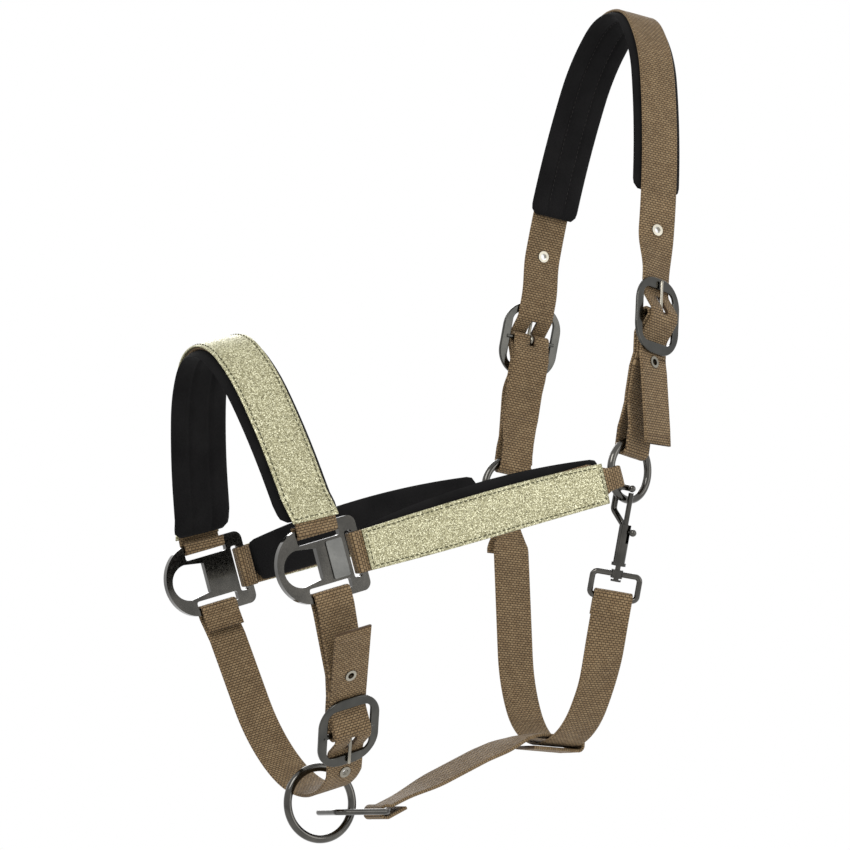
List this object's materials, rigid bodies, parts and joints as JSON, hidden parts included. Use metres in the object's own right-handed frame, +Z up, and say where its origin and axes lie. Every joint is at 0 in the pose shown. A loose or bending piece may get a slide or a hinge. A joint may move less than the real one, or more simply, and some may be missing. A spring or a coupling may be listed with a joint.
{
  "type": "headcollar",
  "caption": "Padded webbing headcollar with overlay bands, buckles, flat nose fittings with D loops, a round chin ring and a throat strap closed by a swivel hook",
  "frame": {"origin": "middle of the crown pad's inner face, where the headcollar rests on the poll", "axes": "+Z up, -X towards the horse's nose, -Y the near (left) side"},
  "size_m": [0.3178, 0.1772, 0.5189],
  "materials": {
    "webbing": "woven nylon, fine ribs",
    "padding": "matt padded lining",
    "overlay": "fine glitter",
    "dark_metal": "polished dark plating",
    "bright_metal": "polished",
    "badge": "matt panel"
  },
  "bodies": {
    "crown": {"crown_strap": "webbing", "crown_pad": "padding", "crown_eyelets": "bright_metal", "near_buckle_frame": "dark_metal", "far_buckle_frame": "dark_metal", "near_buckle_strap": "webbing", "far_buckle_strap": "webbing"},
    "near_tongue": {"near_buckle_tongue": "bright_metal"},
    "far_tongue": {"far_buckle_tongue": "bright_metal"},
    "near_ring": {"near_cheek_ring": "dark_metal"},
    "far_ring": {"far_cheek_ring": "dark_metal"},
    "nose": {"noseband_strap": "webbing", "noseband_pad": "padding", "noseband_overlay": "overlay", "near_cheek_strap": "webbing", "far_cheek_strap": "webbing", "near_cheek_pad": "padding", "far_cheek_pad": "padding", "near_cheek_overlay": "overlay", "far_cheek_overlay": "overlay", "near_nose_fitting": "dark_metal", "far_nose_fitting": "dark_metal", "near_fitting_badge": "badge", "far_fitting_badge": "badge", "chin_strap": "webbing", "chin_buckle_strap": "webbing", "chin_buckle_frame": "dark_metal", "chin_eyelets": "bright_metal"},
    "chin_tongue": {"chin_buckle_tongue": "bright_metal"},
    "lead_ring": {"chin_ring": "dark_metal"},
    "throat": {"throat_strap": "webbing"},
    "jaw": {"jaw_strap": "webbing"},
    "link": {"jaw_link": "dark_metal"},
    "eye": {"snap_eye": "dark_metal"},
    "snap": {"snap_body": "dark_metal"},
    "bolt": {"snap_bolt": "dark_metal"}
  },
  "joints": [
    {"name": "near_tongue_hinge", "type": "hinge", "parent": "crown", "child": "near_tongue", "pos_m": [-0.02654, -0.08008, -0.1932], "axis": [0.9246, 0.3549, -0.1382], "range_deg": [0, 6]},
    {"name": "far_tongue_hinge", "type": "hinge", "parent": "crown", "child": "far_tongue", "pos_m": [-0.02882, 0.073, -0.19286], "axis": [-0.989, 0, 0.1478], "range_deg": [0, 6]},
    {"name": "near_ring_spin", "type": "hinge", "parent": "crown", "child": "near_ring", "pos_m": [-0.04286, -0.074, -0.28681], "axis": [0.351, -0.9349, -0.0525], "continuous": true},
    {"name": "far_ring_spin", "type": "hinge", "parent": "crown", "child": "far_ring", "pos_m": [-0.04286, 0.074, -0.28681], "axis": [0, 1, 0], "continuous": true},
    {"name": "nose_swing", "type": "hinge", "parent": "crown", "child": "nose", "pos_m": [-0.04286, 0, -0.28681], "axis": [0, 1, 0], "range_deg": [-6, 6]},
    {"name": "chin_tongue_hinge", "type": "hinge", "parent": "nose", "child": "chin_tongue", "pos_m": [-0.22192, -0.054, -0.44451], "axis": [-0.9588, 0, -0.284], "range_deg": [0, 6]},
    {"name": "lead_ring_spin", "type": "hinge", "parent": "nose", "child": "lead_ring", "pos_m": [-0.2132, 0, -0.486], "axis": [0, 1, 0], "continuous": true},
    {"name": "throat_swing", "type": "hinge", "parent": "nose", "child": "throat", "pos_m": [-0.04286, 0, -0.28681], "axis": [0, 1, 0], "range_deg": [-0.8, 0.8]},
    {"name": "jaw_hinge", "type": "hinge", "parent": "throat", "child": "jaw", "pos_m": [-0.05341, 0, -0.44987], "axis": [0, 1, 0], "range_deg": [-0.5, 0.5]},
    {"name": "link_hinge", "type": "hinge", "parent": "jaw", "child": "link", "pos_m": [-0.174, 0, -0.491], "axis": [0, 1, 0], "range_deg": [-5, 6]},
    {"name": "eye_hinge", "type": "hinge", "parent": "throat", "child": "eye", "pos_m": [-0.05066, -0.06678, -0.36305], "axis": [-0.9009, 0.4011, 0.1655], "range_deg": [-0.5, 0.5]},
    {"name": "snap_swivel", "type": "hinge", "parent": "eye", "child": "snap", "pos_m": [-0.04548, -0.07913, -0.30497], "axis": [0.0868, -0.2071, 0.9745], "range_deg": [-5, 5]},
    {"name": "bolt_slide", "type": "slide", "parent": "snap", "child": "bolt", "axis": [-0.0868, 0.2071, -0.9745], "range_m": [0, 0.006], "stiffness_N_per_m": 60}
  ]
}
